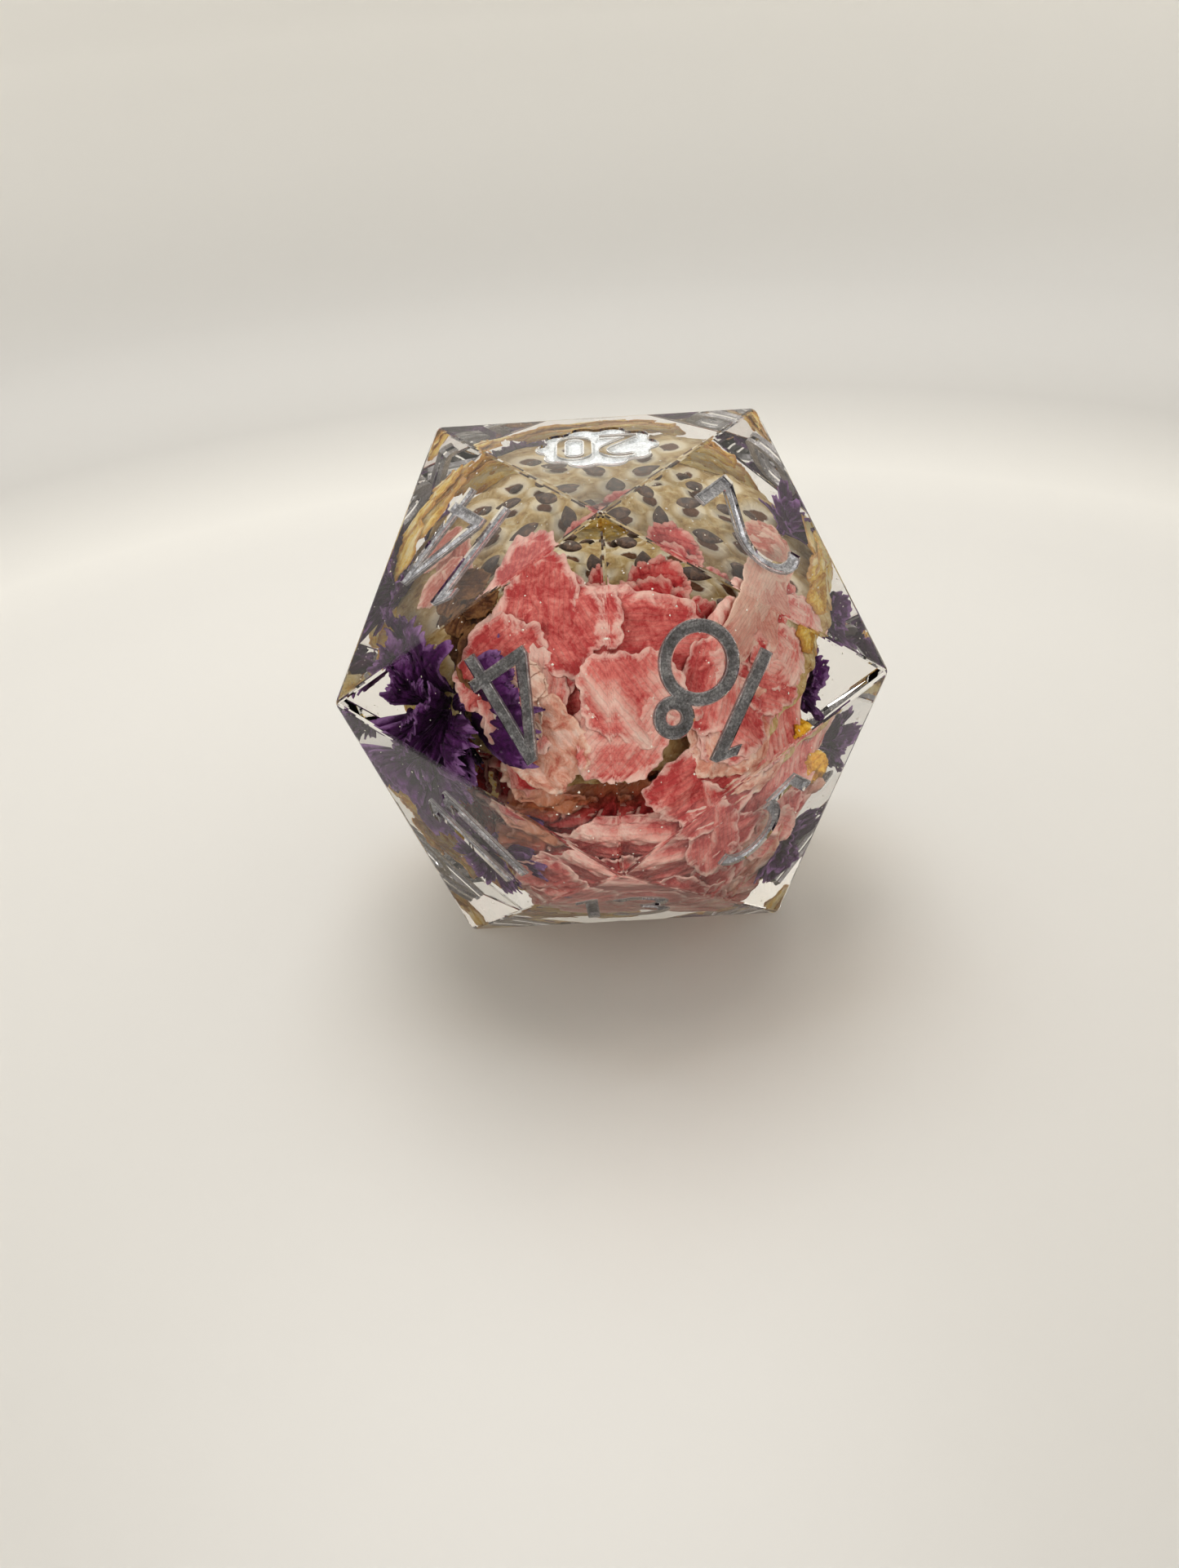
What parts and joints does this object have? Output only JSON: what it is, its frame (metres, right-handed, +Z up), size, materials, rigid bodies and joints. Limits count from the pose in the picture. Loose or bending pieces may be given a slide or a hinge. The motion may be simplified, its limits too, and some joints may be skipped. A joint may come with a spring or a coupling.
{
  "type": "polyhedral die",
  "caption": "Twenty-sided die of clear cast resin with silver-filled sunk numbers and dried petals, florets and fruit sealed inside.",
  "frame": {"origin": "centre of the face that the die rests on", "axes": "+Z up, out of the top face; a corner of the top face points to -Y"},
  "size_m": [0.0236, 0.0272, 0.022],
  "materials": {
    "clear_resin": "clear polished casting resin",
    "silver_paint": "silver paint in the sunk numbers",
    "pink_petal": "dried petal soaked in resin",
    "blush_petal": "pale dried petal soaked in resin",
    "cream_petal": "veined cream petal soaked in resin",
    "yellow_petal": "yellow dried petal soaked in resin",
    "purple_floret": "papery dried floret",
    "dried_fruit": "dried fruit slice soaked in resin",
    "seed": "small hard seeds",
    "gold_stamen": "dried stamens",
    "dry_stem": "dry stem and sepal bits"
  },
  "bodies": {
    "root": {"resin_body": "clear_resin", "number_01": "silver_paint", "number_02": "silver_paint", "number_03": "silver_paint", "number_04": "silver_paint", "number_05": "silver_paint", "number_06": "silver_paint", "number_07": "silver_paint", "number_08": "silver_paint", "number_09": "silver_paint", "number_10": "silver_paint", "number_11": "silver_paint", "number_12": "silver_paint", "number_13": "silver_paint", "number_14": "silver_paint", "number_15": "silver_paint", "number_16": "silver_paint", "number_17": "silver_paint", "number_18": "silver_paint", "number_19": "silver_paint", "number_20": "silver_paint", "pink_petal_top": "pink_petal", "pink_petal_front": "pink_petal", "pink_petal_core": "pink_petal", "pink_petal_left": "pink_petal", "pink_petal_right": "pink_petal", "pink_petal_low": "pink_petal", "pink_petal_base": "pink_petal", "pink_petal_inner": "pink_petal", "pink_petal_back": "pink_petal", "blush_petal_right": "blush_petal", "blush_petal_left": "blush_petal", "cream_petal": "cream_petal", "yellow_petal_left": "yellow_petal", "yellow_petal_right": "yellow_petal", "yellow_petal_back": "yellow_petal", "yellow_petal_low": "yellow_petal", "brown_sepal": "dry_stem", "purple_floret_front": "purple_floret", "purple_floret_low": "purple_floret", "purple_floret_left": "purple_floret", "purple_floret_right": "purple_floret", "purple_floret_top": "purple_floret", "purple_floret_back": "purple_floret", "purple_floret_base": "purple_floret", "amber_bud": "dry_stem", "gold_stamen": "gold_stamen", "dry_stem_left": "dry_stem", "dry_stem_back": "dry_stem", "fruit_slice": "dried_fruit", "fruit_seeds": "seed"}
  },
  "joints": []
}
